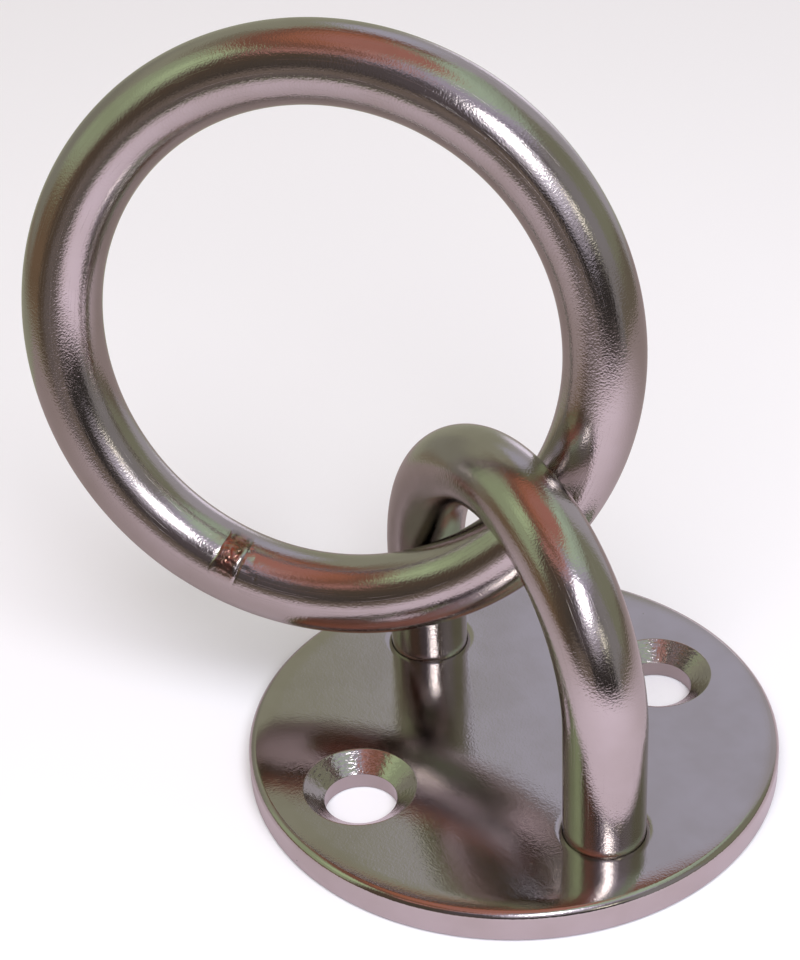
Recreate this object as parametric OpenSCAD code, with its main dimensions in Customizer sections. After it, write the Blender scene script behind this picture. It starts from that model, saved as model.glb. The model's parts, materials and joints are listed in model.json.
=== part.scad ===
// Pad eye with a loose ring, in polished stainless steel.
// A round base plate carries a round bar bent into an eye. The ring, bent from
// the same bar and butt-welded shut, runs through the eye.
//
// Frame: millimetres, +Z up. The origin is the centre of the plate's underside.
// The two screw holes lie along X and the two feet of the eye lie along Y.

/* [Base plate] */
// Diameter of the round base plate
plate_d = 40; // [38:0.5:60]
// Thickness of the base plate
plate_t = 2.5; // [2.2:0.1:4]
// Radius that rounds the plate's upper edge
top_round = 0.6; // [0.3:0.1:1]
// Bevel on the plate's lower edge
bottom_bevel = 0.3; // [0.1:0.1:0.5]

/* [Screw holes] */
// Distance between the two screw holes
screw_spacing = 26; // [24:0.5:29]
// Diameter of the screw holes
screw_d = 5.4; // [4.2:0.1:5.6]
// Diameter of the countersinks at the plate's top face
sink_d = 8.4; // [7:0.1:9]
// Depth of the countersinks
sink_depth = 1.2; // [0.8:0.1:1.6]

/* [Eye] */
// Diameter of the bar that the eye is bent from
eye_bar_d = 6; // [5:0.1:6.2]
// Distance between the centres of the eye's two feet
feet_spacing = 26; // [26:0.5:29]
// Height of the straight legs above the plate's top face
leg_h = 9; // [8:0.5:14]

/* [Feet] */
// Open groove round each leg where it enters the plate
foot_gap = 0.1; // [0.1:0.05:0.5]
// Rounding of the rim of each foot hole
foot_lip = 0.5; // [0.2:0.1:0.6]
// Depth of the weld under the plate
foot_weld_depth = 1.2; // [0.8:0.1:1.5]
// Widening of the foot hole at the plate's underside
foot_weld_flare = 1.2; // [0.8:0.1:1.6]

/* [Ring] */
// Diameter of the bar that the ring is bent from
ring_bar_d = 6; // [5:0.1:6.2]
// Inside diameter of the ring
ring_inside_d = 35; // [34:0.5:40]
// Width of the butt weld, measured along the bar
ring_weld_w = 2.4; // [1.5:0.1:3]
// Height by which the butt weld stands proud of the bar
ring_weld_proud = 0.1; // [0.05:0.05:0.2]
// Place of the butt weld, in degrees round the ring from its lowest point
ring_weld_at = -22; // [-40:1:10]

/* [Ring at rest] */
// Heading of the ring's plane about the vertical
ring_turn = 47.5; // [47:0.5:48.5]
// Lean of the ring's plane from the vertical
ring_lean = 10.5; // [10:0.5:11]
// Place where the ring's bar runs through the eye, along the line of the feet
pass_y = 5.1; // [4.9:0.1:5.1]
// Depth of that place below the axis of the bar at the eye's crown
pass_drop = 10.2; // [10:0.1:10.3]
// The same place in degrees round the ring from its lowest point
pass_at = 34; // [33:1:35]

/* [Hidden] */
$fn = 96;
// Overshoot of a cutting tool past the face that it cuts
cut = 1;
steel = [0.73, 0.70, 0.71];
weld_steel = [0.58, 0.54, 0.53];

plate_r = plate_d / 2;
eye_bar_r = eye_bar_d / 2;
bend_r = feet_spacing / 2;
bend_z = plate_t + leg_h;
crown_z = bend_z + bend_r;

foot_hole_r = eye_bar_r + foot_gap;
// The legs and their welds stop just short of the underside, so the plate sits flat
foot_weld_z = 0.1;
leg_end_z = 0.5;
foot_weld_r = foot_hole_r + foot_weld_flare * (1 - foot_weld_z / foot_weld_depth);

ring_bar_r = ring_bar_d / 2;
ring_bend_r = ring_inside_d / 2 + ring_bar_r;
ring_weld_span = ring_weld_w / ring_bend_r * 180 / PI;

// Half section of the blank plate: round upper edge, bevelled lower edge
module plate_section() {
    square([plate_r - top_round, plate_t]);
    translate([0, bottom_bevel])
        square([plate_r, plate_t - top_round - bottom_bevel]);
    translate([plate_r - top_round, plate_t - top_round])
        circle(r = top_round);
    polygon([[0, 0], [plate_r - bottom_bevel, 0], [plate_r, bottom_bevel], [0, bottom_bevel]]);
}

// Screw hole with its countersink, cut from the top face down
module screw_hole() {
    translate([0, 0, -cut])
        cylinder(d = screw_d, h = plate_t + 2 * cut);
    translate([0, 0, plate_t - sink_depth])
        cylinder(d1 = screw_d, d2 = sink_d, h = sink_depth);
    translate([0, 0, plate_t])
        cylinder(d = sink_d, h = cut);
}

// Half section of the cut that rounds the rim of a foot hole
module lip_section() {
    translate([0, plate_t - foot_lip])
        difference() {
            square([foot_hole_r + foot_lip, foot_lip + cut]);
            translate([foot_hole_r + foot_lip, 0])
                circle(r = foot_lip);
        }
}

// Hole that a leg of the eye passes through, with room for the weld beneath
module foot_hole() {
    translate([0, 0, -cut])
        cylinder(r = foot_hole_r, h = plate_t + 2 * cut);
    rotate_extrude()
        lip_section();
    cylinder(r1 = foot_hole_r + foot_weld_flare, r2 = foot_hole_r, h = foot_weld_depth);
    translate([0, 0, -cut])
        cylinder(r = foot_hole_r + foot_weld_flare, h = cut);
}

module base_plate() {
    color(steel)
        difference() {
            rotate_extrude()
                plate_section();
            for (side = [-1, 1]) {
                translate([side * screw_spacing / 2, 0, 0])
                    screw_hole();
                translate([0, side * bend_r, 0])
                    foot_hole();
            }
        }
}

// One round bar: two straight legs joined by a half-circle bend
module eye_bow() {
    color(steel)
        union() {
            for (side = [-1, 1])
                translate([0, side * bend_r, leg_end_z])
                    cylinder(r = eye_bar_r, h = bend_z - leg_end_z);
            translate([0, 0, bend_z])
                rotate([90, 0, 90])
                    rotate_extrude(angle = 180)
                        translate([bend_r, 0])
                            circle(r = eye_bar_r);
        }
}

// Weld that fills the flared end of a foot hole and covers the end of the leg
module foot_weld(side) {
    color(weld_steel)
        translate([0, side * bend_r, 0])
            rotate_extrude()
                polygon([
                    [0, foot_weld_z],
                    [foot_weld_r, foot_weld_z],
                    [foot_hole_r, foot_weld_depth],
                    [eye_bar_r, foot_weld_depth],
                    [eye_bar_r, leg_end_z],
                    [0, leg_end_z]
                ]);
}

// Puts a ring drawn about the origin where it runs through the eye
module ring_at_rest() {
    translate([0, pass_y, crown_z - pass_drop])
        rotate([0, 90 - ring_lean, 180 + ring_turn])
            rotate([0, 0, pass_at])
                translate([-ring_bend_r, 0, 0])
                    rotate([0, 0, -pass_at])
                        children();
}

// Length of round bar bent round the ring's centre line. Angles run from the lowest point.
module ring_arc(from, span, radius) {
    ring_at_rest()
        rotate([0, 0, from])
            rotate_extrude(angle = span)
                translate([ring_bend_r, 0])
                    circle(r = radius);
}

module ring() {
    color(steel)
        ring_arc(ring_weld_at + ring_weld_span / 2, 360 - ring_weld_span, ring_bar_r);
}

module ring_weld() {
    color(weld_steel)
        ring_arc(ring_weld_at - ring_weld_span / 2, ring_weld_span, ring_bar_r + ring_weld_proud);
}

base_plate();
eye_bow();
foot_weld(-1);  // front_foot_weld
foot_weld(1);  // rear_foot_weld
ring();
ring_weld();
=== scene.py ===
"""Looks of the pad eye with a loose ring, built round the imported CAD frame.

Everything is in metres in the row frame: +Z up, the screw holes along X, the
eye's feet along Y, the origin at the centre of the base plate's underside.
"""

import json
import math

import bpy
import numpy as np
from mathutils import Matrix, Vector, geometry, noise


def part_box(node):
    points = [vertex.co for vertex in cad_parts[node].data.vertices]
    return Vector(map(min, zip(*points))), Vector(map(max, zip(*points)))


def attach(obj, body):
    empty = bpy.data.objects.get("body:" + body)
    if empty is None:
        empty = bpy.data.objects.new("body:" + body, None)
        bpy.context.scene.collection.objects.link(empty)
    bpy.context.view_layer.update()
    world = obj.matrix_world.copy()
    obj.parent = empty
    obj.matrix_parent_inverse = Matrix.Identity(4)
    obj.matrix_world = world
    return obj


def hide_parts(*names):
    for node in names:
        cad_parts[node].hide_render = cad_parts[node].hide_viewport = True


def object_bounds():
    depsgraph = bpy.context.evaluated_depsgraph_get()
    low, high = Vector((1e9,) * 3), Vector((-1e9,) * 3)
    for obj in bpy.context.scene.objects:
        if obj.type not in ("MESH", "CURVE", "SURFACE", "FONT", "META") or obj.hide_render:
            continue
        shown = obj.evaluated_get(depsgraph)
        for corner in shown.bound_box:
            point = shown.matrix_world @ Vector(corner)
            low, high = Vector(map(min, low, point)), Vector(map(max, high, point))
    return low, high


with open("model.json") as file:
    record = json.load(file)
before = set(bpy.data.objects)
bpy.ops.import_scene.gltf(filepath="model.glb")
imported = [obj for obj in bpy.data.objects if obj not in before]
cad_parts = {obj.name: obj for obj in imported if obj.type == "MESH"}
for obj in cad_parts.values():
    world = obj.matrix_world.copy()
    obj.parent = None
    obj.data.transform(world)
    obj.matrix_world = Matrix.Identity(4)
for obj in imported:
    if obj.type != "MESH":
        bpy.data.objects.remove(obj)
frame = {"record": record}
cad_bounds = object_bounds()

MM = 0.001
UP = Vector((0, 0, 1))


# ---------------------------------------------------------------- dimensions

def mount(name):
    """The record's mount of that name."""
    return next(m for m in frame["record"]["mounts"] if m["name"] == name)


plate_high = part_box("base_plate")[1]
bow_low, bow_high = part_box("eye_bow")
weld_low, weld_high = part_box("front_foot_weld")
screws = mount("screw_holes")["dims"]
ring_loop = mount("ring_loop")

# Base plate
PLATE_R = plate_high.x
PLATE_T = plate_high.z
TOP_ROUND = 0.6 * MM
BOTTOM_BEVEL = 0.3 * MM
SCREW_X = screws["spacing_x_mm"] / 2 * MM
SCREW_R = screws["hole_r_mm"] * MM
SINK_R = 4.2 * MM
SINK_DEPTH = 1.2 * MM
# The upper face falls away gently towards its rim, and sways a little
RIM_EASE_WIDTH = 1.8 * MM
RIM_EASE_DEPTH = 0.19 * MM
PLATE_SWAY = 0.006 * MM
PLATE_SWAY_LENGTH = 8 * MM

# Eye: two straight legs and a half-circle bend
EYE_BAR_R = bow_high.x
FOOT_Y = bow_high.y - EYE_BAR_R
BEND_Z = bow_high.z - EYE_BAR_R - FOOT_Y
LEG_END_Z = bow_low.z

# Feet: an open groove with a rounded lip above, a weld in a flare below
FOOT_HOLE_R = EYE_BAR_R + 0.015 * MM
FOOT_LIP = 0.585 * MM
LIP_SQUASH = 0.32  # height of the lip as a share of its width
FOOT_WELD_Z = weld_low.z
FOOT_WELD_TOP = weld_high.z
FOOT_FLARE_R = weld_high.x + 0.1 * MM
FOOT_WELD_ROUND = 0.05 * MM
FOOT_WELD_EDGE = 0.08 * MM
FOOT_BEAD_R = 3.2 * MM
FOOT_BEAD_WIDTH = 0.75 * MM
FOOT_BEAD_HEIGHT = 0.16 * MM
FOOT_RIPPLE_PITCH = 0.55 * MM
FOOT_RIPPLE_HEIGHT = 0.03 * MM
FOOT_RIPPLE_BOW = 0.5
FOOT_LUMP_HEIGHT = 0.04 * MM
FOOT_LUMP_LENGTH = 1.1 * MM

# Ring: angles run round it from its lowest point, and round its bar from the outside
RING_CENTRE = Vector(ring_loop["pos_m"])
RING_AXIS = Vector(ring_loop["axis"]).normalized()
RING_ACROSS = UP.cross(RING_AXIS).normalized()
RING_DOWN = RING_ACROSS.cross(RING_AXIS)
RING_BAR_R = 3 * MM
RING_BEND_R = 20.5 * MM

# Ring weld: a bead whose roughness is left only round WELD_FACE, with a crevice at either edge
RING_WELD_AT = math.radians(-22)
RING_WELD_HALF = 1.2 * MM / RING_BEND_R
RING_WELD_PROUD = 0.1 * MM
WELD_CROWN_LEFT = 0.6  # share of its height that polishing has left
WELD_FACE = math.radians(134)
WELD_FADE_START = math.radians(20)
WELD_FADE_END = math.radians(46)
RIPPLE_PITCH = 0.5 * MM
RIPPLE_HEIGHT = 0.012 * MM
RIPPLE_BOW = 0.3 * MM
LUMP_HEIGHT = 0.035 * MM
LUMP_LENGTH = 1 * MM
PORE_DEPTH = 0.09 * MM
PORE_LENGTH = 0.35 * MM
# How the weld's heat tinting and painted reflection fade in from its edges, and how ragged they are
TINT_AND_PAINTED_REFLECTION_FADE = 0.4 * MM
TINT_AND_PAINTED_REFLECTION_RAGGED_LENGTH = 0.55 * MM
CREVICE_AHEAD = 0.09 * MM
CREVICE_BEHIND = 0.045 * MM
CREVICE_WIDTH = 0.13 * MM
# Nicks ahead of the weld: place along the bar, degrees round it, length, girth, depth
NICKS = [
    (0.20, 150, 0.18, 0.14, 0.11),
    (0.55, 120, 0.40, 0.16, 0.05),
    (1.50, 112, 0.14, 0.10, 0.06),
    (0.90, 138, 0.30, 0.30, 0.03),
]

# Height and length of the waves that hand polishing leaves on the bars
POLISH_WAVES = [(0.009 * MM, 7 * MM), (0.0022 * MM, 2.2 * MM)]

# Meshes: small edge rounding, and how finely the pieces are divided
EDGE = 0.12 * MM
PLATE_AROUND = 360
HOLE_AROUND = 120
BAR_AROUND = 120
LEG_ROWS = 34
BEND_ROWS = 120
RING_ROWS = 380
RING_FINE_REACH = 2.4 * MM  # either side of the weld
RING_FINE_ROWS = 40
WELD_ROWS = 54
FOOT_FACE_ROWS = 46
SHEET_PITCH = 0.7 * MM
SNAP = 1e-7


# ---------------------------------------------------------------- mesh tools

class Skin:
    """A mesh being put together from patches. Patches that meet share their edge points."""

    def __init__(self):
        self.points, self.normals, self.faces = [], [], []
        self.known = {}

    def add(self, points, normals, faces):
        """Adds a patch. Faces that merged points leave with under three corners are dropped."""
        ids = []
        for point, normal in zip(points, normals):
            key = tuple(round(c / SNAP) for c in point)
            if key not in self.known:
                self.known[key] = len(self.points)
                self.points.append(tuple(point))
                self.normals.append(Vector(normal))
            ids.append(self.known[key])
        for face in faces:
            corners = tuple(dict.fromkeys(ids[i] for i in face))
            if len(corners) > 2:
                self.faces.append(corners)

    def build(self, name):
        """The object, shaded by the patches' own normals."""
        obj = mesh_object(name, self.points, self.faces)
        obj.data.normals_split_custom_set_from_vertices([n.normalized() for n in self.normals])
        return obj


def mesh_object(name, points, faces, uvs=None):
    """A smooth-shaded mesh object. uvs go face corner by face corner."""
    mesh = bpy.data.meshes.new(name)
    mesh.from_pydata([tuple(p) for p in points], [], faces)
    mesh.shade_smooth()
    if uvs is not None:
        mesh.uv_layers.new(name="bar").data.foreach_set("uv", np.asarray(uvs, np.float32).ravel())
    obj = bpy.data.objects.new(name, mesh)
    bpy.context.scene.collection.objects.link(obj)
    return obj


def unevenness(points, wavelength, seed):
    """Smooth noise from -1 to 1 at each point, with bumps about one wavelength apart."""
    shift = Vector((7.31, 3.17, 5.53)) * seed
    return np.array([noise.noise(Vector(p) / wavelength + shift) for p in points])


def polished(points):
    """How far hand polishing leaves the surface from true at each point."""
    waves = [height * unevenness(points, length, seed)
             for seed, (height, length) in enumerate(POLISH_WAVES, 1)]
    return sum(waves)


def turned(row, angle, centre):
    """Point and normal of a profile row (r, z, normal r, normal z) turned about a vertical axis."""
    r, z, nr, nz = row
    c, s = math.cos(angle), math.sin(angle)
    return (centre[0] + r * c, centre[1] + r * s, z), (nr * c, nr * s, nz)


def revolve(rows, centre, around):
    """Points, normals and faces of a profile turned about a vertical axis through centre."""
    points, normals, faces = [], [], []
    for row in rows:
        for j in range(around):
            point, normal = turned(row, 2 * math.pi * j / around, centre)
            points.append(point)
            normals.append(normal)
    for i in range(len(rows) - 1):
        for j in range(around):
            k = (j + 1) % around
            faces.append((i * around + j, (i + 1) * around + j, (i + 1) * around + k, i * around + k))
    return points, normals, faces


def rounded_profile(corners, rounds, steps=12):
    """Rows (r, z, normal r, normal z) along a half section whose inner corners are rounded.
    The solid lies to the right of the direction of travel."""
    corners = [np.array(c, float) for c in corners]

    def left_of(a, b):
        along = (b - a) / np.linalg.norm(b - a)
        return np.array([-along[1], along[0]])

    rows = [(*corners[0], *left_of(corners[0], corners[1]))]
    for before, corner, after, radius in zip(corners, corners[1:], corners[2:], rounds):
        back = (before - corner) / np.linalg.norm(before - corner)
        ahead = (after - corner) / np.linalg.norm(after - corner)
        inward = (back + ahead) / np.linalg.norm(back + ahead)
        centre = corner + inward * radius / math.sqrt((1 - back @ ahead) / 2)
        first, last = left_of(before, corner), left_of(corner, after)
        side = -1 if (first + last) @ inward > 0 else 1
        for step in range(steps + 1):
            normal = first + (last - first) * step / steps
            normal /= np.linalg.norm(normal)
            rows.append((*(centre + side * radius * normal), *normal))
    rows.append((*corners[-1], *left_of(corners[-2], corners[-1])))
    return rows


def flat_sheet(z, up, disc_r, disc_around, holes, hole_around, pitch):
    """Points, normals and triangles that fill a round flat face with round holes (x, y, r)."""
    points, edges = [], []
    for x, y, r, around in [(0, 0, disc_r, disc_around)] + [(*hole, hole_around) for hole in holes]:
        first = len(points)
        for j in range(around):
            points.append(turned((r, z, 0, 0), 2 * math.pi * j / around, (x, y))[0])
            edges.append((first + j, first + (j + 1) % around))

    def inside(x, y, margin):
        if math.hypot(x, y) > disc_r - margin:
            return False
        return all(math.hypot(x - hx, y - hy) > r + margin for hx, hy, r in holes)

    rows = int(disc_r / pitch) + 2
    for i in range(-rows, rows + 1):
        for j in range(-rows, rows + 1):
            x, y = (j + 0.5 * (i % 2)) * pitch, i * pitch * math.sqrt(0.75)
            if inside(x, y, 0.4 * pitch):
                points.append((x, y, z))
    flat = [Vector(p[:2]) / MM for p in points]
    found, _, triangles, origins, _, _ = geometry.delaunay_2d_cdt(flat, edges, [], 0, 1e-5)
    points = [points[origin[0]] for origin in origins]
    faces = []
    for triangle in triangles:
        x = sum(points[i][0] for i in triangle) / 3
        y = sum(points[i][1] for i in triangle) / 3
        if inside(x, y, 0):
            faces.append(tuple(triangle) if up > 0 else tuple(triangle)[::-1])
    return points, [(0, 0, up)] * len(points), faces


def tube(name, centres, outward, sideways, radii, lengths):
    """A closed bar swept along centres, one ring of points at each. Arrays outward and sideways
    span its sections, radii is (rings, points round), and lengths is how far along each ring is."""
    rings, around = radii.shape
    turn = np.linspace(0, 2 * math.pi, around, endpoint=False)
    spokes = np.cos(turn)[None, :, None] * outward + np.sin(turn)[None, :, None] * sideways
    points = (centres + radii[:, :, None] * spokes).reshape(-1, 3)
    girth = 2 * math.pi * radii.mean() / around
    faces, uvs = [], []
    for i in range(rings - 1):
        for j in range(around):
            k = (j + 1) % around
            faces.append((i * around + j, (i + 1) * around + j, (i + 1) * around + k, i * around + k))
            uvs += [(lengths[i], j * girth), (lengths[i + 1], j * girth),
                    (lengths[i + 1], (j + 1) * girth), (lengths[i], (j + 1) * girth)]
    ends = np.concatenate([points[:around], points[-around:]])
    for i, order in ((0, 1), (1, -1)):
        faces.append(tuple(len(points) + i * around + j for j in range(around))[::order])
        uvs += [(lengths[-i], 0.0)] * around
    return mesh_object(name, np.concatenate([points, ends]), faces, uvs)


# ---------------------------------------------------------------- pieces

def build_plate():
    """The round base plate, with its two countersunk screw holes and two foot holes."""
    outside = rounded_profile(
        [(PLATE_R - TOP_ROUND - EDGE, PLATE_T), (PLATE_R, PLATE_T), (PLATE_R, 0),
         (PLATE_R - BOTTOM_BEVEL - EDGE, 0)],
        [TOP_ROUND, BOTTOM_BEVEL])
    screw_hole = rounded_profile(
        [(SCREW_R + 2 * EDGE, 0), (SCREW_R, 0), (SCREW_R, PLATE_T - SINK_DEPTH), (SINK_R, PLATE_T),
         (SINK_R + 2 * EDGE, PLATE_T)],
        [EDGE, EDGE / 2, EDGE])
    foot_hole = rounded_profile(
        [(FOOT_FLARE_R + 2 * EDGE, 0), (FOOT_FLARE_R, 0), (FOOT_HOLE_R, FOOT_WELD_TOP),
         (FOOT_HOLE_R, PLATE_T), (FOOT_HOLE_R + FOOT_LIP + EDGE, PLATE_T)],
        [EDGE, EDGE / 2, FOOT_LIP])
    foot_hole = [flatten_lip(row) for row in foot_hole]
    holes = []
    for side in (-1, 1):
        holes.append((side * SCREW_X, 0, screw_hole))
        holes.append((0, side * FOOT_Y, foot_hole))
    skin = Skin()
    skin.add(*revolve(outside, (0, 0), PLATE_AROUND))
    for x, y, rows in holes:
        skin.add(*revolve(rows, (x, y), HOLE_AROUND))
    for z, up, end in ((PLATE_T, 1, -1), (0, -1, 0)):
        rims = [(x, y, rows[end][0]) for x, y, rows in holes]
        disc_r = outside[0 if up > 0 else -1][0]
        skin.add(*flat_sheet(z, up, disc_r, PLATE_AROUND, rims, HOLE_AROUND, SHEET_PITCH))
    sway_polished_face(skin)
    ease_rim(skin)
    return skin.build("base_plate_polished")


def flatten_lip(row):
    """A profile row of a foot hole, with its lip squashed into a shallow quarter ellipse."""
    r, z, nr, nz = row
    if z < PLATE_T - FOOT_LIP - 0.01 * MM:
        return row
    length = math.hypot(nr, nz / LIP_SQUASH)
    return r, PLATE_T - (PLATE_T - z) * LIP_SQUASH, nr / length, nz / LIP_SQUASH / length


def sway_polished_face(skin):
    """Gives the plate's upper face the faint sway that polishing leaves, in height and slope."""
    step = 0.05 * MM
    here = np.array(skin.points)
    lean = here * (1, 1, 0)
    height = PLATE_SWAY * unevenness(lean, PLATE_SWAY_LENGTH, 3)
    slope_x = (PLATE_SWAY * unevenness(lean + (step, 0, 0), PLATE_SWAY_LENGTH, 3) - height) / step
    slope_y = (PLATE_SWAY * unevenness(lean + (0, step, 0), PLATE_SWAY_LENGTH, 3) - height) / step
    for i, normal in enumerate(skin.normals):
        share = max(0.0, normal.z) if here[i, 2] > PLATE_T / 2 else 0.0
        x, y, z = skin.points[i]
        skin.points[i] = (x, y, z + share * (height[i] - PLATE_SWAY))
        skin.normals[i] = normal - share * Vector((slope_x[i], slope_y[i], 0))


def ease_rim(skin):
    """Lets the plate's upper face fall away gently towards its rim, as polishing wears it."""
    for i, normal in enumerate(skin.normals):
        x, y, z = skin.points[i]
        reach = (math.hypot(x, y) - PLATE_R) / RIM_EASE_WIDTH + 1
        if reach <= 0 or z < PLATE_T / 2:
            continue
        share = max(0.0, normal.z)
        skin.points[i] = (x, y, z - share * RIM_EASE_DEPTH * reach * reach)
        slope = share * 2 * RIM_EASE_DEPTH * reach / RIM_EASE_WIDTH
        skin.normals[i] = normal + slope / math.hypot(x, y) * Vector((x, y, 0))


def build_bow():
    """The eye: one round bar with two straight legs and a half-circle bend."""
    leg = np.linspace(LEG_END_Z, BEND_Z, LEG_ROWS, endpoint=False)
    bend = np.linspace(0, math.pi, BEND_ROWS)
    side = np.full(LEG_ROWS, FOOT_Y)
    y = np.concatenate([side, FOOT_Y * np.cos(bend), -side])
    z = np.concatenate([leg, BEND_Z + FOOT_Y * np.sin(bend), leg[::-1]])
    centres = np.stack([np.zeros_like(y), y, z], 1)[:, None, :]
    rise = np.maximum(z - BEND_Z, 0)
    outward = np.stack([np.zeros_like(y), np.where(rise > 0, y, np.sign(y) * FOOT_Y), rise], 1)
    outward = (outward / np.linalg.norm(outward, axis=1)[:, None])[:, None, :]
    sideways = np.broadcast_to(np.array([1.0, 0, 0]), outward.shape)
    turn = np.linspace(0, 2 * math.pi, BAR_AROUND, endpoint=False)[None, :, None]
    surface = centres + EYE_BAR_R * (np.cos(turn) * outward + np.sin(turn) * sideways)
    radii = EYE_BAR_R + polished(surface.reshape(-1, 3)).reshape(surface.shape[:2])
    lengths = np.concatenate([[0], np.cumsum(np.linalg.norm(np.diff(centres[:, 0], axis=0), axis=1))])
    return tube("eye_bow_polished", centres, outward, sideways, radii, lengths)


def ring_outward(angles):
    """Unit vectors from the ring's centre at those angles round it."""
    down, across = np.array(RING_DOWN), np.array(RING_ACROSS)
    return np.cos(angles)[:, :, None] * down + np.sin(angles)[:, :, None] * across


def ring_stretch(name, angles, radii, lengths):
    """A stretch of the ring's bar. angles and radii are (rings, points round)."""
    outward = ring_outward(angles)
    centres = np.array(RING_CENTRE) + RING_BEND_R * outward
    sideways = np.broadcast_to(np.array(RING_AXIS), outward.shape)
    return tube(name, centres, outward, sideways, radii, lengths)


def weld_edges(turn):
    """How far each edge of the ring's weld runs from its centre line, as angles round the ring."""
    ahead = 0.76 + 0.18 * np.cos(turn - WELD_FACE - 0.3) + 0.04 * np.sin(5 * turn)
    behind = 0.74 + 0.17 * np.cos(turn - WELD_FACE) + 0.05 * np.sin(4 * turn + 1)
    behind = behind + 0.02 * np.sin(11 * turn)
    return RING_WELD_HALF * ahead, RING_WELD_HALF * behind


def from_angle(turn, middle):
    """Signed angle from middle to turn, from -pi to pi."""
    return (turn - middle + math.pi) % (2 * math.pi) - math.pi


def weld_share(turn):
    """How much of the weld's shape polishing has left, from 0 to 1, round the bar."""
    beyond = (WELD_FADE_END - np.abs(from_angle(turn, WELD_FACE))) / (WELD_FADE_END - WELD_FADE_START)
    share = np.clip(beyond, 0, 1)
    return share * share * (3 - 2 * share)


def crevice(distance, turn, depth):
    """Depth of the groove where the weld meets the bar: worn away in places."""
    worn = 0.55 + 0.45 * np.sin(3 * turn + 0.6) * np.sin(7 * turn)
    return depth * weld_share(turn) * worn * np.exp(-(distance / CREVICE_WIDTH) ** 2)


def bar_bumps(angles, turn):
    """Unevenness of the ring's bar, the same for the bar and for the weld in it."""
    reach = RING_BEND_R + RING_BAR_R * np.cos(turn)[..., None]
    spots = reach * ring_outward(angles) + RING_BAR_R * np.sin(turn)[..., None] * np.array(RING_AXIS)
    return polished(spots.reshape(-1, 3)).reshape(angles.shape)


def nicks(along, turn):
    """Depth of the nicks that grinding the weld left on the bar just ahead of it."""
    depth = np.zeros(np.broadcast(along, turn).shape)
    for place, angle, length, girth, deep in NICKS:
        over_length = (along / MM - place) / length
        over_girth = from_angle(turn, math.radians(angle)) * RING_BAR_R / MM / girth
        depth += deep * MM * np.exp(-over_length ** 2 - over_girth ** 2)
    return depth


def mark_unpolished(obj, share):
    """Stores on each point how much of the weld's roughness, heat tinting and painted reflection is
    left, for the weld's material.
    """
    values = obj.data.attributes.new("unpolished", "FLOAT", "POINT")
    values.data.foreach_set("value", np.ascontiguousarray(share, np.float32).ravel())


def build_ring():
    """The ring's bar, from one side of its weld right round to the other."""
    turn = np.linspace(0, 2 * math.pi, BAR_AROUND, endpoint=False)[None, :]
    ahead, behind = weld_edges(turn)
    whole = 2 * math.pi * RING_BEND_R
    fine = np.linspace(0, RING_FINE_REACH, RING_FINE_ROWS, endpoint=False)
    coarse = np.linspace(RING_FINE_REACH, whole - RING_FINE_REACH, RING_ROWS)
    along = np.concatenate([fine, coarse, (whole - fine)[::-1]])
    share = (along / whole)[:, None]
    angles = RING_WELD_AT + ahead + share * (2 * math.pi - behind - ahead)
    bumps = bar_bumps(angles, turn)
    ahead_cut = crevice(along[:, None], turn, CREVICE_AHEAD) + nicks(along[:, None], turn)
    radii = RING_BAR_R + bumps - ahead_cut - crevice((whole - along)[:, None], turn, CREVICE_BEHIND)
    return ring_stretch("ring_polished", angles, radii, along)


def build_ring_weld():
    """The butt weld that closes the ring: a low bead with the ripples that polishing has left."""
    turn = np.linspace(0, 2 * math.pi, 2 * BAR_AROUND, endpoint=False)[None, :]
    ahead, behind = weld_edges(turn)
    share = np.linspace(0, 1, WELD_ROWS)[:, None]
    angles = RING_WELD_AT - behind + share * (ahead + behind)
    across = 2 * share - 1
    half = RING_WELD_HALF * RING_BEND_R
    girth = turn * RING_BAR_R
    bow = RIPPLE_BOW * across ** 2
    ripples = np.sin(2 * math.pi * (girth + bow) / RIPPLE_PITCH + 0 * across)
    spots = np.stack([across * half + 0 * girth, np.cos(turn) * RING_BAR_R + 0 * across,
                      np.sin(turn) * RING_BAR_R + 0 * across], -1).reshape(-1, 3)
    lumps = unevenness(spots, LUMP_LENGTH, 4).reshape(angles.shape)
    pores = np.clip(unevenness(spots, PORE_LENGTH, 9).reshape(angles.shape) - 0.25, 0, 1)
    left = weld_share(turn)
    crown = RING_WELD_PROUD * left * np.sqrt(np.clip(1 - across ** 4, 0, 1))
    inner = np.clip(1 - across ** 2, 0, 1)
    rough = left * inner * (RIPPLE_HEIGHT * ripples + LUMP_HEIGHT * lumps - PORE_DEPTH * pores)
    cut = crevice((1 - across) * half, turn, CREVICE_AHEAD)
    cut = cut + crevice((1 + across) * half, turn, CREVICE_BEHIND)
    raised = np.minimum(WELD_CROWN_LEFT * crown + rough, RING_WELD_PROUD)
    radii = RING_BAR_R + bar_bumps(angles, turn) + raised - cut
    bead = ring_stretch("ring_weld_bead", angles, radii, (across * half)[:, 0])
    # Where the weld's heat tinting and painted reflection lie: fading in from its edges, ragged
    ragged = unevenness(spots, TINT_AND_PAINTED_REFLECTION_RAGGED_LENGTH, 12).reshape(angles.shape)
    tint_and_painted_reflection_share = left * np.clip((1 - np.abs(across)) * half / TINT_AND_PAINTED_REFLECTION_FADE + ragged, 0, 1)
    mark_unpolished(bead, np.concatenate([tint_and_painted_reflection_share, tint_and_painted_reflection_share[:1], tint_and_painted_reflection_share[-1:]]))
    return bead


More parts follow.
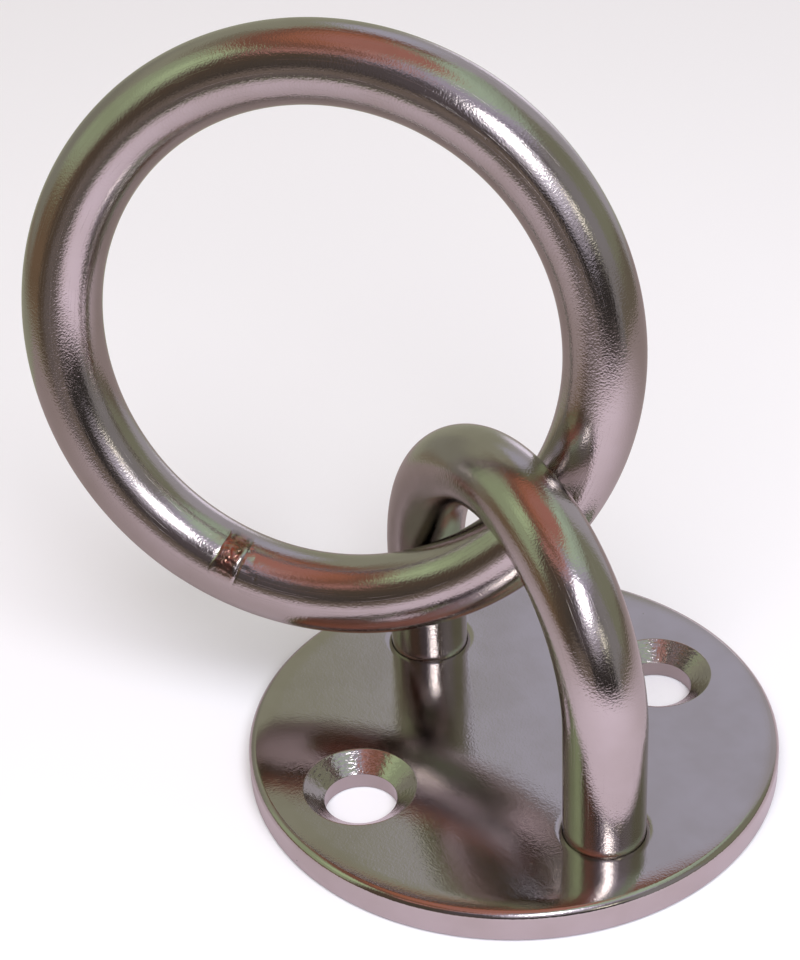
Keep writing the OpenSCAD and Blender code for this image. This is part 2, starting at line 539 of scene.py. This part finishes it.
def build_foot_weld(name, side):
    """The weld under one foot: a rippled bead laid round the end of the leg, ground back flat."""
    middle = (0, side * FOOT_Y)
    outside = rounded_profile(
        [(0, LEG_END_Z), (EYE_BAR_R, LEG_END_Z), (EYE_BAR_R, FOOT_WELD_TOP),
         (FOOT_HOLE_R, FOOT_WELD_TOP), (FOOT_FLARE_R - 0.1 * MM, FOOT_WELD_Z),
         (FOOT_FLARE_R - 0.3 * MM, FOOT_WELD_Z)],
        [FOOT_WELD_ROUND, FOOT_WELD_ROUND, FOOT_WELD_ROUND, FOOT_WELD_EDGE], 5)
    face_r = np.linspace(FOOT_FLARE_R - 0.35 * MM, 0, FOOT_FACE_ROWS)
    face = [(r, FOOT_WELD_Z, 0, -1) for r in face_r]
    points, normals, faces = revolve(outside + face, middle, HOLE_AROUND)
    spots = np.array(points)
    x, y = spots[:, 0], spots[:, 1] - middle[1]
    r, angle = np.hypot(x, y), np.arctan2(y, x)
    bead = np.exp(-((r - FOOT_BEAD_R) / FOOT_BEAD_WIDTH) ** 2)
    arc = angle * FOOT_BEAD_R + FOOT_RIPPLE_BOW * (r - FOOT_BEAD_R) ** 2 / MM
    count = round(2 * math.pi * FOOT_BEAD_R / FOOT_RIPPLE_PITCH)
    ripples = np.sin(count * arc / FOOT_BEAD_R)
    lumps = unevenness(spots, FOOT_LUMP_LENGTH, 5 + side)
    dip = FOOT_BEAD_HEIGHT * (1 - bead) + FOOT_RIPPLE_HEIGHT * bead * (1 + ripples)
    dip += FOOT_LUMP_HEIGHT * np.abs(lumps)
    inner = np.clip((FOOT_FLARE_R - 0.2 * MM - r) / (0.2 * MM), 0, 1)
    spots[:, 2] += dip * inner * (spots[:, 2] <= FOOT_WELD_Z + 1e-9)
    skin = Skin()
    skin.add([tuple(p) for p in spots], normals, faces)
    weld_obj = mesh_object(name, skin.points, skin.faces)
    mark_unpolished(weld_obj, np.ones(len(skin.points)))
    return weld_obj


# ---------------------------------------------------------------- materials

# Colours, roughness where the metal is clean and where it is hazy, and depths of its finest marks
STEEL = (0.54, 0.505, 0.49)
STEEL_DULL = (0.50, 0.465, 0.44)
# The weld's two colours are heat tinting with painted reflections in it: copper, and dark olive
WELD_HEAT_TINT_AND_PAINTED_COPPER_REFLECTION = (0.40, 0.21, 0.16)
WELD_DARK_TINT_AND_PAINTED_DARK_REFLECTION = (0.11, 0.09, 0.055)
SPECK = (0.16, 0.14, 0.13)
BAR_ROUGHNESS = (0.055, 0.11)
BAR_GRAIN = 0.015 * MM
PLATE_ROUGHNESS = (0.045, 0.085)
PLATE_GRAIN = 0.007 * MM
UNDERSIDE_ROUGHNESS = 0.34
TURNING_DEPTH = 0.036 * MM


def add_node(tree, kind, inputs=(), **settings):
    """A shader node with its settings, its plain inputs set and its linked inputs joined."""
    node = tree.nodes.new(kind)
    for key, value in settings.items():
        setattr(node, key, value)
    for key, value in dict(inputs).items():
        if isinstance(value, bpy.types.NodeSocket):
            tree.links.new(value, node.inputs[key])
        else:
            node.inputs[key].default_value = value
    return node


def blank_material(name):
    """A material with no nodes yet, and its node tree."""
    material = bpy.data.materials.new(name)
    material.use_nodes = True
    material.node_tree.nodes.clear()
    return material, material.node_tree


def math_node(tree, operation, *values):
    """The result of one Math node."""
    return add_node(tree, "ShaderNodeMath", dict(enumerate(values)), operation=operation).outputs[0]


def remap(tree, value, low, high, to_low, to_high):
    """value from low to high, taken smoothly to to_low to to_high and held there beyond."""
    return add_node(tree, "ShaderNodeMapRange", {
        "Value": value, "From Min": low, "From Max": high, "To Min": to_low, "To Max": to_high},
        interpolation_type="SMOOTHSTEP").outputs[0]


def blend_colours(tree, share, first, second):
    """first where share is 0, second where it is 1. Either may be a colour or a socket."""
    colours = [c if isinstance(c, bpy.types.NodeSocket) else (*c, 1) for c in (first, second)]
    return add_node(tree, "ShaderNodeMix", {0: share, 6: colours[0], 7: colours[1]},
                    data_type="RGBA").outputs[2]


def noise_of(tree, vector, scale, detail=2.0, roughness=0.5):
    """Noise with about scale bumps per unit of vector."""
    return add_node(tree, "ShaderNodeTexNoise", {
        "Vector": vector, "Scale": scale, "Detail": detail, "Roughness": roughness}).outputs["Fac"]


def in_mm(tree, socket, stretch=(1, 1, 1)):
    """A coordinate turned from metres to millimetres, then squeezed by stretch on each axis."""
    scale = [s / MM for s in stretch]
    node = add_node(tree, "ShaderNodeVectorMath", {0: socket, 1: scale}, operation="MULTIPLY")
    return node.outputs[0]


def bumped(tree, height, distance, under=None):
    """The surface normal with height, 0 to 1, raising it by up to distance."""
    inputs = {"Height": height, "Distance": distance, "Strength": 1.0}
    if under is not None:
        inputs["Normal"] = under
    return add_node(tree, "ShaderNodeBump", inputs).outputs[0]


def finish_material(tree, colour, roughness, normal):
    """Ends a tree in bare metal of that colour, roughness and normal."""
    shader = add_node(tree, "ShaderNodeBsdfPrincipled", {
        "Metallic": 1.0, "Base Color": colour, "Roughness": roughness, "Normal": normal})
    add_node(tree, "ShaderNodeOutputMaterial", {"Surface": shader.outputs[0]})


def polish_marks(tree, place, depth):
    """Normal, haze and specks that buffing leaves on polished metal, with a grain of that depth."""
    grain = noise_of(tree, place, 6.2, 2.0, 0.6)
    ripple = noise_of(tree, place, 1.3, 2.0)
    haze = remap(tree, noise_of(tree, place, 0.22, 3.0), 0.35, 0.7, 0.0, 1.0)
    cells = add_node(tree, "ShaderNodeTexVoronoi", {"Vector": place, "Scale": 0.26, "Randomness": 1.0})
    specks = remap(tree, cells.outputs["Distance"], 0.012, 0.024, 1.0, 0.0)
    normal = bumped(tree, grain, depth)
    normal = bumped(tree, ripple, 0.004 * MM, normal)
    normal = bumped(tree, math_node(tree, "MULTIPLY", specks, -1.0), 0.02 * MM, normal)
    return normal, haze, specks


def bar_steel():
    """Polished bar, buffed along its length."""
    material, tree = blank_material("polished_bar_steel")
    place = in_mm(tree, add_node(tree, "ShaderNodeTexCoord").outputs["Object"])
    along = add_node(tree, "ShaderNodeUVMap", uv_map="bar").outputs[0]
    normal, haze, specks = polish_marks(tree, place, BAR_GRAIN)
    buffing = noise_of(tree, in_mm(tree, along, (0.35, 9.0, 1)), 1.0, 3.0, 0.65)
    scratches = noise_of(tree, in_mm(tree, along, (0.12, 22.0, 1)), 1.0, 1.0)
    normal = bumped(tree, buffing, 0.0026 * MM, normal)
    normal = bumped(tree, remap(tree, scratches, 0.66, 0.72, 0.0, -1.0), 0.002 * MM, normal)
    roughness = remap(tree, haze, 0.0, 1.0, *BAR_ROUGHNESS)
    colour = blend_colours(tree, haze, STEEL, STEEL_DULL)
    colour = blend_colours(tree, specks, colour, SPECK)
    finish_material(tree, colour, roughness, normal)
    return material


def plate_steel():
    """Polished plate: turned countersinks, and an underside that is ground rather than polished."""
    material, tree = blank_material("polished_plate_steel")
    raw = add_node(tree, "ShaderNodeTexCoord").outputs["Object"]
    place = in_mm(tree, raw)
    normal, haze, specks = polish_marks(tree, place, PLATE_GRAIN)
    split = add_node(tree, "ShaderNodeSeparateXYZ", {"Vector": place}).outputs
    from_hole = math_node(tree, "SUBTRACT", math_node(tree, "ABSOLUTE", split[0]), SCREW_X / MM)
    offset = add_node(tree, "ShaderNodeCombineXYZ", {"X": from_hole, "Y": split[1]}).outputs[0]
    reach = add_node(tree, "ShaderNodeVectorMath", {0: offset}, operation="LENGTH").outputs["Value"]
    turn = math_node(tree, "ARCTAN2", split[1], from_hole)
    tool = math_node(tree, "MULTIPLY", turn, 1.5)
    path = add_node(tree, "ShaderNodeCombineXYZ", {"X": reach, "Y": tool}).outputs[0]
    turning = noise_of(tree, path, 5.0, 3.0)
    in_sink = remap(tree, reach, SINK_R / MM, SINK_R / MM + 0.05, 1.0, 0.0)
    normal = bumped(tree, math_node(tree, "MULTIPLY", turning, in_sink), TURNING_DEPTH, normal)
    below = remap(tree, split[2], 0.01, 0.05, 1.0, 0.0)
    grinding = noise_of(tree, in_mm(tree, raw, (0.25, 14.0, 1)), 1.0, 3.0, 0.7)
    normal = bumped(tree, math_node(tree, "MULTIPLY", grinding, below), 0.008 * MM, normal)
    ground = math_node(tree, "MULTIPLY", below, UNDERSIDE_ROUGHNESS)
    roughness = math_node(tree, "MAXIMUM", remap(tree, haze, 0.0, 1.0, *PLATE_ROUGHNESS), ground)
    colour = blend_colours(tree, haze, STEEL, STEEL_DULL)
    colour = blend_colours(tree, specks, colour, SPECK)
    finish_material(tree, colour, roughness, normal)
    return material


def weld_steel():
    """Weld metal: heat tinting with painted copper and dark reflections, duller and uneven where
    polishing hasn't reached it.
    """
    material, tree = blank_material("heat_tinted_weld_steel_with_painted_reflection")
    place = in_mm(tree, add_node(tree, "ShaderNodeTexCoord").outputs["Object"])
    share = add_node(tree, "ShaderNodeAttribute", attribute_name="unpolished").outputs["Fac"]
    normal, haze, specks = polish_marks(tree, place, BAR_GRAIN)
    patches = noise_of(tree, place, 1.3, 3.0, 0.6)
    crust = math_node(tree, "MULTIPLY", noise_of(tree, place, 4.0, 3.0, 0.65), share)
    normal = bumped(tree, crust, 0.012 * MM, normal)
    # Painted reflection: copper and dark patches mixed into the weld's heat tinting
    tint_and_painted_reflection_colour = blend_colours(tree, remap(tree, patches, 0.35, 0.65, 0.0, 1.0), WELD_HEAT_TINT_AND_PAINTED_COPPER_REFLECTION, WELD_DARK_TINT_AND_PAINTED_DARK_REFLECTION)
    colour = blend_colours(tree, share, blend_colours(tree, haze, STEEL, STEEL_DULL), tint_and_painted_reflection_colour)
    colour = blend_colours(tree, specks, colour, SPECK)
    worn = math_node(tree, "MULTIPLY", remap(tree, patches, 0.3, 0.7, 0.02, 0.16), share)
    finish_material(tree, colour, math_node(tree, "ADD", worn, 0.09), normal)
    return material


def set_down(obj, material, body, node):
    """Gives a piece its material and the CAD body it moves with, and hides the CAD node it stands for.
    """
    obj.data.materials.append(material)
    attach(obj, body)
    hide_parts(node)


def build_pieces():
    """Every piece, each with its material and body, hiding the CAD node it stands for."""
    bar, plate, weld = bar_steel(), plate_steel(), weld_steel()
    set_down(build_plate(), plate, "fixed_eye", "base_plate")
    set_down(build_bow(), bar, "fixed_eye", "eye_bow")
    set_down(build_foot_weld("front_foot_weld_bead", -1), weld,
             "fixed_eye", "front_foot_weld")
    set_down(build_foot_weld("rear_foot_weld_bead", 1), weld,
             "fixed_eye", "rear_foot_weld")
    set_down(build_ring(), bar, "loose_ring", "ring")
    set_down(build_ring_weld(), weld, "loose_ring", "ring_weld")


# ---------------------------------------------------------------- floor and studio

# Edges of the tabletop that the metal mirrors, in mm from the origin
TABLE = {"left": -108, "right": 165, "front": -165, "back": 68}
# A pool of light is painted on the tabletop: light round a spot in front of the object, fading to
# painted shade all round
TABLE_PAINTED_LIGHT_SPOT = (-20, -70)
TABLE_PAINTED_LIGHT_NEAR = (0.79, 0.69, 0.80)
TABLE_PAINTED_SHADE_FAR = (0.37, 0.31, 0.31)
TABLE_PAINTED_LIGHT_FADE = (35, 125)  # from TABLE_PAINTED_LIGHT_NEAR to TABLE_PAINTED_SHADE_FAR, in mm from the bright spot
TABLE_Z = -0.01 * MM
GROUND_R = 2.5
GROUND_Z = -0.02 * MM
GROUND_AROUND = 96
GROUND_COLOUR = (0.90, 0.905, 0.95)

# The window by the camera, from its glow to its core. name, place in mm, length and width in mm,
# brightness, colour
WINDOW = [
    ("window_glow", (-36, -126, 104), 128, 98, 0.40, (0.89, 0.83, 1.0)),
    ("window_middle", (-38, -125, 122), 104, 76, 0.65, (0.85, 0.84, 1.0)),
    ("window_core", (-38, -124, 134), 60, 42, 6.4, (1.0, 1.0, 1.0)),
]
WINDOW_LEAN = math.radians(50)

# The softbox over the floor: metres, brightness and colour
SOFTBOX_PLACE = (-0.15, -0.3, 0.6)
SOFTBOX_SIZE = (0.7, 0.7)
SOFTBOX_BRIGHTNESS = 4.1
SOFTBOX_COLOUR = (0.95, 0.96, 1.0)

BACKDROP = (0.72, 0.71, 0.71)
DOME_R = 1.2
DOME_BASE = (0.37, 0.39, 0.26)
DOME_TINT = (1, 0.95, 1.08)  # scales all the dome's colours, to suit the colour of the steel

# The studio round the object, as its metal sees it: soft zones of light painted on the dome. Angles
# are in degrees: azimuth from the front (-Y) towards +X, and elevation. Later zones lie over
# earlier ones. name: azimuth, half width, elevation, half height, tilt, softness, colour
ZONES = {
    "left edge": (-112, 58, -2, 13, 0, 8, (0.22, 0.155, 0.085)),
    "left corner": (-158, 26, 6, 16, 0, 14, (0.30, 0.31, 0.22)),
    "back olive": (-162, 18, 47, 7, 0, 8, (0.27, 0.25, 0.16)),
    "left green": (-119, 24, 31, 21, 0, 14, (0.42, 0.52, 0.29)),
    "left lamp glow": (-110, 11, 42, 10, -20, 10, (0.58, 0.76, 0.40)),
    "left dark": (-73, 20, 22, 38, 0, 9, (0.125, 0.095, 0.06)),
    "front left dark": (-56, 20, 10, 22, 0, 12, (0.10, 0.085, 0.06)),
    "front low": (-10, 58, -1, 15, 0, 8, (0.045, 0.042, 0.035)),
    "front left low": (-56, 14, 0, 8, 0, 8, (0.24, 0.20, 0.15)),
    "table edge": (-30, 46, -9, 4, 0, 7, (0.20, 0.175, 0.15)),
    "front": (-15, 42, 34, 22, 0, 12, (0.13, 0.115, 0.11)),
    "front right": (34, 20, 22, 28, 0, 12, (0.32, 0.32, 0.29)),
    "right green": (72, 25, 22, 19, 0, 8, (0.28, 0.30, 0.19)),
    "right low": (62, 36, -4, 9, 0, 8, (0.20, 0.18, 0.12)),
    "right wall": (118, 24, 22, 34, 0, 16, (0.50, 0.50, 0.48)),
    "back right": (141, 12, 42, 14, 12, 10, (0.56, 0.58, 0.61)),
    "back spot": (134, 8, 0, 8, 0, 8, (1.20, 1.18, 1.20)),
    "right dark line": (68, 42, 45, 3, 0, 4, (0.22, 0.21, 0.14)),
    "over front": (-5, 52, 57, 11, 0, 10, (0.54, 0.52, 0.58)),
    "right mint": (52, 62, 64, 11, -9, 9, (0.56, 0.74, 0.50)),
    "mint end": (74, 34, 53, 6, 0, 6, (0.46, 0.58, 0.40)),
    "left copper": (-62, 26, 62, 14, 12, 10, (0.60, 0.31, 0.24)),
    "back brown": (-150, 78, 67, 13, 0, 10, (0.46, 0.19, 0.10)),
    "ceiling": (0, 180, 86, 13, 0, 8, (0.52, 0.24, 0.17)),
    "ceiling dark": (-150, 100, 59, 5, 0, 6, (0.26, 0.13, 0.08)),
    "lamp ring": (6, 9, 24, 8, 0, 6, (0.36, 0.38, 0.28)),
    "lamp": (5, 4, 24, 3, 0, 3, (2.20, 2.20, 1.70)),
}


def soft_step(distance, reach, softness):
    """1 well within reach, 0 well beyond it."""
    beyond = np.clip((distance - reach) / softness + 0.5, 0, 1)
    return 1 - beyond * beyond * (3 - 2 * beyond)


def studio_light(azimuth, elevation):
    """Colour of the dome at arrays of directions, in degrees."""
    light = np.tile(np.array(DOME_BASE, float), (len(azimuth), 1))
    for az, wide, el, high, tilt, softness, colour in ZONES.values():
        across = (azimuth - az + 180) % 360 - 180
        up = elevation - el
        c, s = math.cos(math.radians(tilt)), math.sin(math.radians(tilt))
        across, up = c * across + s * up, c * up - s * across
        share = soft_step(np.abs(across), wide, softness) * soft_step(np.abs(up), high, softness)
        light += share[:, None] * (np.array(colour) - light)
    return light * DOME_TINT


def build_dome():
    """The studio dome. The metal mirrors it and it lights the scene, but the camera doesn't see it."""
    columns, rows = 180, 90
    azimuth = np.tile(np.linspace(-180, 180, columns, endpoint=False), rows + 1)
    elevation = np.repeat(np.linspace(-90, 90, rows + 1), columns)
    a, e = np.radians(azimuth), np.radians(elevation)
    points = DOME_R * np.stack([np.sin(a) * np.cos(e), -np.cos(a) * np.cos(e), np.sin(e)], 1)
    faces = []
    for i in range(rows):
        for j in range(columns):
            this, above, k = i * columns, (i + 1) * columns, (j + 1) % columns
            faces.append((this + j, this + k, above + k, above + j))
    dome = mesh_object("studio_dome", points, faces)
    light = dome.data.attributes.new("light", "FLOAT_COLOR", "POINT")
    rgba = np.concatenate([studio_light(azimuth, elevation), np.ones((len(points), 1))], 1)
    light.data.foreach_set("color", rgba.astype(np.float32).ravel())
    material, tree = blank_material("studio_light")
    painted = add_node(tree, "ShaderNodeAttribute", attribute_name="light")
    glow = add_node(tree, "ShaderNodeEmission", {"Color": painted.outputs["Color"]})
    add_node(tree, "ShaderNodeOutputMaterial", {"Surface": glow.outputs[0]})
    material.cycles.emission_sampling = "NONE"
    dome.data.materials.append(material)
    dome.visible_camera = False


def build_world():
    """What the camera sees beyond the floor: plain and pale, as the floor is."""
    world = bpy.data.worlds.new("backdrop")
    world.use_nodes = True
    world.node_tree.nodes.clear()
    plain = add_node(world.node_tree, "ShaderNodeBackground", {"Color": (*BACKDROP, 1)})
    add_node(world.node_tree, "ShaderNodeOutputWorld", {"Surface": plain.outputs[0]})
    bpy.context.scene.world = world


def pale_material(name, painted_light_colour, painted_shade_colour):
    """A matt floor material with a painted pool of light: one colour at a spot in front of the object,
    fading to a second colour, painted shade, all round.
    """
    material, tree = blank_material(name)
    place = in_mm(tree, add_node(tree, "ShaderNodeTexCoord").outputs["Object"])
    # Painted pool of light: lightest round the spot, fading to painted shade farther off
    spot = (*TABLE_PAINTED_LIGHT_SPOT, 0)
    distance = add_node(tree, "ShaderNodeVectorMath", {0: place, 1: spot}, operation="DISTANCE")
    share = remap(tree, distance.outputs["Value"], *TABLE_PAINTED_LIGHT_FADE, 0.0, 1.0)
    share = math_node(tree, "ADD", share, math_node(tree, "MULTIPLY", noise_of(tree, place, 0.05), 0.05))
    colour = blend_colours(tree, share, painted_light_colour, painted_shade_colour)
    shader = add_node(tree, "ShaderNodeBsdfPrincipled", {"Base Color": colour, "Roughness": 0.85})
    add_node(tree, "ShaderNodeOutputMaterial", {"Surface": shader.outputs[0]})
    return material


def build_floor():
    """The pale floor that the camera sees, and the smaller tabletop that the metal mirrors, with a pool
    of light painted on it.
    """
    rim = [turned((GROUND_R, GROUND_Z, 0, 0), 2 * math.pi * j / GROUND_AROUND, (0, 0))[0]
           for j in range(GROUND_AROUND)]
    ground = mesh_object("ground", rim, [tuple(range(GROUND_AROUND))])
    ground.data.materials.append(pale_material("pale_floor", GROUND_COLOUR, GROUND_COLOUR))
    ground.visible_glossy = False
    x0, x1, y0, y1 = (TABLE[side] * MM for side in ("left", "right", "front", "back"))
    corners = [(x0, y0, TABLE_Z), (x1, y0, TABLE_Z), (x1, y1, TABLE_Z), (x0, y1, TABLE_Z)]
    table = mesh_object("table", corners, [(0, 1, 2, 3)])
    table.data.materials.append(pale_material("table_with_painted_light_pool", TABLE_PAINTED_LIGHT_NEAR, TABLE_PAINTED_SHADE_FAR))
    table.visible_camera = False
    table.visible_shadow = False
    table.visible_diffuse = False


def add_softbox(name, place, aim, size, brightness, colour, lean=0.0):
    """A soft oval light of the given brightness, facing aim, with its length leaning from level."""
    data = bpy.data.lights.new(name, "AREA")
    data.shape = "ELLIPSE"
    data.size, data.size_y = size
    data.energy = brightness * math.pi * math.pi * size[0] * size[1] / 4
    data.color = colour
    light = bpy.data.objects.new(name, data)
    light.location = place
    facing = (Vector(aim) - Vector(place)).to_track_quat("-Z", "Y").to_matrix()
    light.rotation_euler = (facing @ Matrix.Rotation(lean, 3, "Z")).to_euler()
    light.visible_camera = False
    bpy.context.scene.collection.objects.link(light)
    return light


def add_lights():
    """The window that makes the highlights, and a broad softbox that the metal doesn't mirror."""
    middle = (cad_bounds[0] + cad_bounds[1]) / 2
    for name, place, length, width, brightness, colour in WINDOW:
        size = (length * MM, width * MM)
        add_softbox(name, Vector(place) * MM, middle, size, brightness, colour, WINDOW_LEAN)
    above = add_softbox("floor_softbox", SOFTBOX_PLACE, (0, 0, 0), SOFTBOX_SIZE,
                        SOFTBOX_BRIGHTNESS, SOFTBOX_COLOUR)
    above.visible_glossy = False


# ---------------------------------------------------------------- camera

CAMERA_AZIMUTH = math.radians(-26.67)
CAMERA_ELEVATION = math.radians(34.0)
CAMERA_ROLL = math.radians(-2.717)
CAMERA_DISTANCE = 169.7 * MM
CAMERA_LENS = 89.0
AIM_OFFSET = Vector((-3.4, -0.6, -3.1)) * MM


def add_camera():
    """The photograph's view: aimed a little to one side of the object's middle, and slightly rolled."""
    aim = (cad_bounds[0] + cad_bounds[1]) / 2 + AIM_OFFSET
    level = math.cos(CAMERA_ELEVATION)
    back = Vector((math.sin(CAMERA_AZIMUTH) * level, -math.cos(CAMERA_AZIMUTH) * level,
                   math.sin(CAMERA_ELEVATION)))
    right = UP.cross(back).normalized()
    axes = Matrix((right, back.cross(right), back)).transposed() @ Matrix.Rotation(CAMERA_ROLL, 3, "Z")
    data = bpy.data.cameras.new("camera")
    data.lens = CAMERA_LENS
    data.sensor_width = 36
    data.clip_start = 0.01
    data.clip_end = 10
    camera = bpy.data.objects.new("camera", data)
    camera.matrix_world = Matrix.Translation(aim + back * CAMERA_DISTANCE) @ axes.to_4x4()
    bpy.context.scene.collection.objects.link(camera)
    bpy.context.scene.camera = camera


build_pieces()
build_floor()
build_dome()
build_world()
add_lights()
add_camera()
bpy.context.scene.view_settings.view_transform = "Standard"
